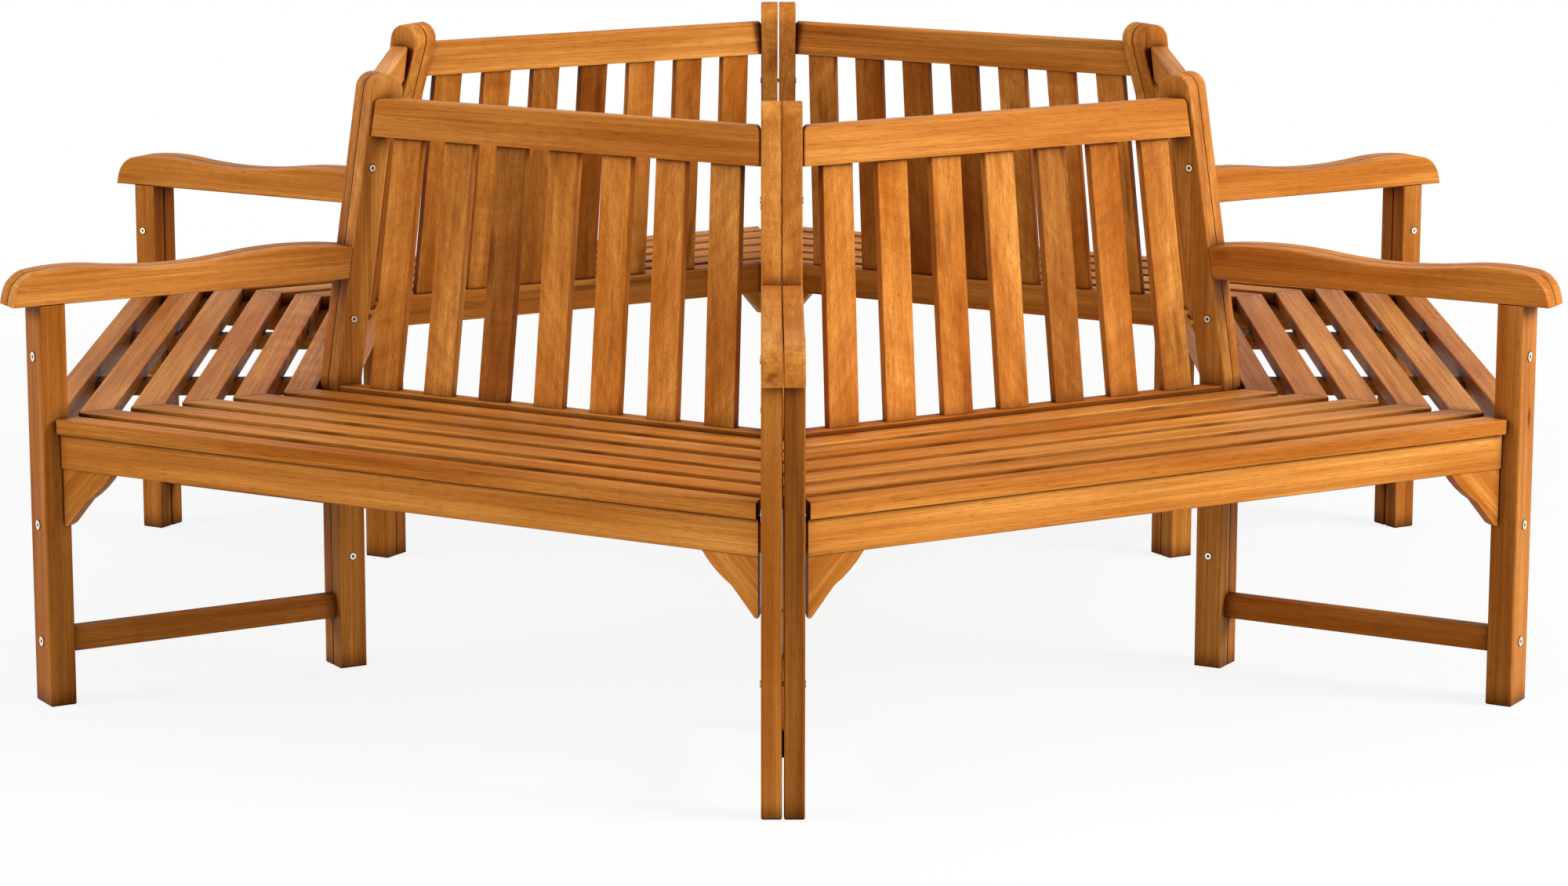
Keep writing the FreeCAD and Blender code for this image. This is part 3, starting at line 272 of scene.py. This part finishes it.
def growth_rings(shader, board):
    """Rings round a heart that lies beside the board."""
    slow_place = shader.combine(shader.math("MULTIPLY", board.run, WANDERS_PER_METRE), board.shift, 0.0)
    slow = shader.noise(slow_place, detail=1.0)
    wander = shader.math("MULTIPLY", shader.math("SUBTRACT", slow, 0.5), WANDER)
    tilt = shader.math("MULTIPLY", shader.math("SUBTRACT", board.other[0], 0.5), TILT)
    drift = shader.math("MULTIPLY_ADD", board.length, tilt, wander)

    heart_angle = shader.math("MULTIPLY", board.chance[1], 2 * math.pi)
    heart_reach = shader.span(board.chance[2], 0.0, 1.0, HEART_NEAR, HEART_FAR)
    heart_across = shader.math("MULTIPLY", shader.math("COSINE", heart_angle), heart_reach)
    heart_depth = shader.math("MULTIPLY", shader.math("SINE", heart_angle), heart_reach)
    across = shader.math("ADD", shader.math("SUBTRACT", board.across, heart_across), drift)
    depth = shader.math("SUBTRACT", board.depth, heart_depth)
    squares = shader.math("ADD", shader.math("MULTIPLY", across, across),
                          shader.math("MULTIPLY", depth, depth))

    ripple = shader.noise(board.stretched(along=5.0, over=30.0), detail=2.0)
    reach = shader.math("MULTIPLY_ADD", ripple, RIPPLE, shader.math("SQRT", squares))
    inputs = {"W": shader.math("MULTIPLY", reach, RINGS_PER_METRE),
              "Scale": 1.0, "Detail": 3.0, "Roughness": 0.6}
    rings = shader.node("TexNoise", inputs, noise_dimensions="1D").outputs[0]
    return shader.span(rings, low=0.34, high=0.70)


def small_knots(shader, board):
    """A knot in few of the cells that the board is divided into."""
    cells = board.stretched(along=5.0, over=14.0, offset=board.shift)
    spots = shader.node("TexVoronoi", {"Vector": cells, "Scale": 1.0}).outputs
    rare = shader.span(shader.split(spots["Color"])[0], low=0.84, high=0.86)
    near = shader.span(spots["Distance"], 0.05, 0.11, 1.0, 0.0)
    return shader.math("MULTIPLY", rare, near)


def board_shade(shader, board, clouds, lightness, dark_boards):
    """The colour that lightens or darkens the board; dark_boards is the share of boards that are dark."""
    level = shader.span(board.other[2], 0.0, 1.0, DARKEST_BOARD * lightness, LIGHTEST_BOARD * lightness)
    dark = shader.math("LESS_THAN", board.other[0], dark_boards)
    level = shader.math("MULTIPLY", level, shader.math("MULTIPLY_ADD", dark, -DARK_BOARD_LOSS, 1.0))
    level = shader.math("MULTIPLY", level, shader.math("MULTIPLY_ADD", clouds, -CLOUD_LOSS, CLEAR_GAIN))
    green = shader.math("POWER", level, GREEN_DEPTH)
    blue = shader.math("POWER", level, BLUE_DEPTH)
    return shader.combine(level, green, blue)


def wood(name, seed, corner_piece, layout, lightness=1.0, dark_boards=0.0):
    """Oiled hardwood whose grain, rings, pores and tone are worked out board by board."""
    shader = Shader(name)
    board = Board(shader, seed, corner_piece, layout)
    rings = growth_rings(shader, board)
    knots = small_knots(shader, board)
    bands = board.streaks(along=1.6, over=110.0, offset=3.0, detail=3.0, low=0.32, high=0.72)
    fibres = board.streaks(along=7.0, over=420.0, offset=0.0, detail=4.0, low=0.30, high=0.70)
    pores = board.streaks(along=45.0, over=1300.0, offset=5.0, detail=1.0, low=0.58, high=0.72)
    clouds = board.streaks(along=2.0, over=20.0, offset=9.0, detail=2.0, low=0.32, high=0.68)
    veins = board.streaks(along=1.5, over=44.0, offset=13.0, detail=4.0, low=0.60, high=0.76)

    board_tone = shader.math("MULTIPLY", board.other[1], BOARD_TONE)
    colour = shader.mix(shader.math("MULTIPLY_ADD", clouds, CLOUD_TONE, board_tone), HONEY, AMBER)
    layers = [(rings, 0.30, RUSSET), (bands, 0.52, RUSSET), (fibres, 0.42, RUSSET),
              (veins, 0.62, WALNUT), (pores, 0.50, WALNUT), (knots, 0.80, WALNUT)]
    for pattern, strength, tint in layers:
        colour = shader.mix(shader.math("MULTIPLY", pattern, strength), colour, tint)
    shade = board_shade(shader, board, clouds, lightness, dark_boards)
    colour = shader.mix(1.0, colour, shade, "MULTIPLY")
    # Painted shade in the gaps between slats and at joints, where other faces stand close
    colour = shader.paint_crevice_shade(colour, WOOD_SHADE_REACH, PAINTED_GAP_SHADE)

    roughness = shader.math("MULTIPLY_ADD", fibres, FIBRE_ROUGHNESS, SMOOTH_ROUGHNESS)
    height = shader.math("ADD", shader.math("MULTIPLY", fibres, FIBRE_HEIGHT),
                         shader.math("MULTIPLY", rings, RING_HEIGHT))
    relief = shader.bump(shader.math("SUBTRACT", height, pores), 0.5, GRAIN_RELIEF)
    surface = shader.node("BsdfPrincipled", {"Base Color": colour, "Roughness": roughness, "Normal": relief,
                                             "Specular IOR Level": OIL_SHINE, "Specular Tint": OIL_TINT})
    return shader.finish(surface.outputs[0])


def zinc(name):
    """Pale zinc plating with a fine mottle."""
    shader = Shader(name)
    inputs = {"Vector": shader.object_place(), "Scale": 900.0, "Detail": 2.0}
    mottle = shader.node("TexNoise", inputs).outputs[0]
    colour = shader.mix(mottle, WARM_ZINC, PALE_ZINC)
    # Painted shade in the recesses around bolts and nuts
    colour = shader.paint_crevice_shade(colour, ZINC_SHADE_REACH, PAINTED_HOLE_SHADE)
    roughness = shader.span(mottle, 0.3, 0.7, 0.28, 0.46)
    relief = shader.bump(mottle, 0.2, 0.0001)
    surface = shader.node("BsdfPrincipled", {"Base Color": colour, "Metallic": 1.0, "Roughness": roughness,
                                             "Normal": relief})
    return shader.finish(surface.outputs[0])


def corner_wood(name, seed, layout, **looks):
    return wood(name, seed, True, layout, **looks)


def section_wood(name, seed, layout, **looks):
    return wood(name, seed, False, layout, **looks)


# The seeds put the darkest boards where the photo has them
leg = corner_wood("leg_wood", 223.5, upright_pair, lightness=0.8, dark_boards=0.2)
wide_leg = corner_wood("wide_leg_wood", 546.0, upright_single, lightness=0.8)
materials = {
    "outer_legs_left_front": wide_leg,
    "outer_legs_right_front": wide_leg,
    "outer_legs": leg,
    "back_posts": corner_wood("post_wood", 1521.0, upright_pair, lightness=0.86),
    "arms": corner_wood("arm_wood", 2075.0, outwards_pair),
    "seat_side_rails": corner_wood("side_rail_wood", 5.0, outwards_pair, lightness=0.8),
    "leg_stretcher": corner_wood("stretcher_wood", 6.0, outwards_single, lightness=0.8),
    "seat_apron": section_wood("apron_wood", 682.75, along_section),
    "seat_slats": section_wood("seat_slat_wood", 984.25, seat_slat, dark_boards=0.12),
    "back_top_rail": section_wood("top_rail_wood", 589.25, along_section),
    "back_slats": section_wood("back_slat_wood", 2081.0, back_slat, dark_boards=0.2),
    "back_lower_rails": section_wood("lower_rail_wood", 11.0, along_section, lightness=0.92),
    "seat_bearers": section_wood("bearer_wood", 12.0, outwards_pair, lightness=0.8),
    "apron_brackets": section_wood("bracket_wood", 13.0, bracket),
}
zinc_steel = zinc("zinc_steel")
for fastener in ("frame_joining_bolts", "frame_sleeve_nuts", "wide_leg_face_bolts"):
    materials[fastener] = zinc_steel

# A piece takes the material under the longest name that its own name starts with
for node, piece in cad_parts.items():
    named = max((name for name in materials if node.startswith(name)), key=len)
    for slot in piece.material_slots:
        slot.material = materials[named]


def flat_square(name, half):
    mesh = bpy.data.meshes.new(name)
    corners = [(-half, -half, 0), (half, -half, 0), (half, half, 0), (-half, half, 0)]
    mesh.from_pydata(corners, [], [(0, 1, 2, 3)])
    square = bpy.data.objects.new(name, mesh)
    bpy.context.collection.objects.link(square)
    return square


def pale_floor():
    """White to the eye, with the shadow in it, and greyer to the light that it throws back."""
    shader = Shader("floor")
    seen = shader.seen_directly()
    grey = shader.math("MULTIPLY_ADD", seen, SEEN_GREY - BOUNCE_GREY, BOUNCE_GREY)
    surface = shader.node("BsdfDiffuse", {"Color": shader.combine(grey, grey, grey)}).outputs[0]
    glow = shader.node("Emission", {"Color": WHITE, "Strength": 1.0}).outputs[0]
    away = shader.node("VectorMath", {0: shader.object_place()}, operation="LENGTH").outputs["Value"]
    glow_share = shader.span(away, GLOW_START, GLOW_FULL, GLOW_AT_START, 1.0)
    glow_share = shader.math("MULTIPLY", seen, glow_share)
    mixed = shader.node("MixShader", {0: glow_share, 1: surface, 2: glow}).outputs[0]
    floor = flat_square("floor", FLOOR_HALF)
    floor.location.z = -FLOOR_DROP
    floor.data.materials.append(shader.finish(mixed))
    return floor


def white_world(strength):
    """White where the eye or a gloss sees it, and dimmer as a light."""
    shader = Shader("studio", bpy.data.worlds)
    power = shader.math("MAXIMUM", shader.seen_directly(), strength)
    background = shader.node("Background", {"Color": WHITE, "Strength": power}).outputs[0]
    bpy.context.scene.world = shader.finish(background, "OutputWorld")


def soft_light(name, place, aim, size, power):
    lamp = bpy.data.lights.new(name, "AREA")
    lamp.shape = "SQUARE"
    lamp.size = size
    lamp.energy = power
    light = bpy.data.objects.new(name, lamp)
    bpy.context.collection.objects.link(light)
    light.location = place
    direction = Vector(aim) - Vector(place)
    light.rotation_euler = direction.to_track_quat("-Z", "Y").to_euler()


def photo_camera():
    """The camera, fitted to the photo's points."""
    data = bpy.data.cameras.new("camera")
    data.sensor_width = SENSOR_MM
    data.lens = LENS_MM
    data.shift_x = LENS_SHIFT
    data.clip_end = FAR_END
    camera = bpy.data.objects.new("camera", data)
    bpy.context.collection.objects.link(camera)
    camera.location = CAMERA_PLACE
    camera.rotation_euler = (math.pi / 2 - CAMERA_DOWN, 0.0, 0.0)
    bpy.context.scene.camera = camera


pale_floor()
white_world(WORLD_POWER)
soft_light("overhead", place=(0.0, -0.3, 5.0), aim=(0.0, 0.0, 0.4), size=4.0, power=60.0)
soft_light("key", place=(6.2, -2.4, 3.0), aim=(0.0, 0.0, 0.5), size=2.6, power=500.0)
soft_light("fill", place=(-6.2, -2.4, 3.0), aim=(0.0, 0.0, 0.5), size=2.6, power=220.0)
soft_light("front", place=(0.0, -7.0, 1.8), aim=(0.0, 0.0, 0.5), size=2.6, power=95.0)
photo_camera()
bpy.context.scene.view_settings.view_transform = "Standard"
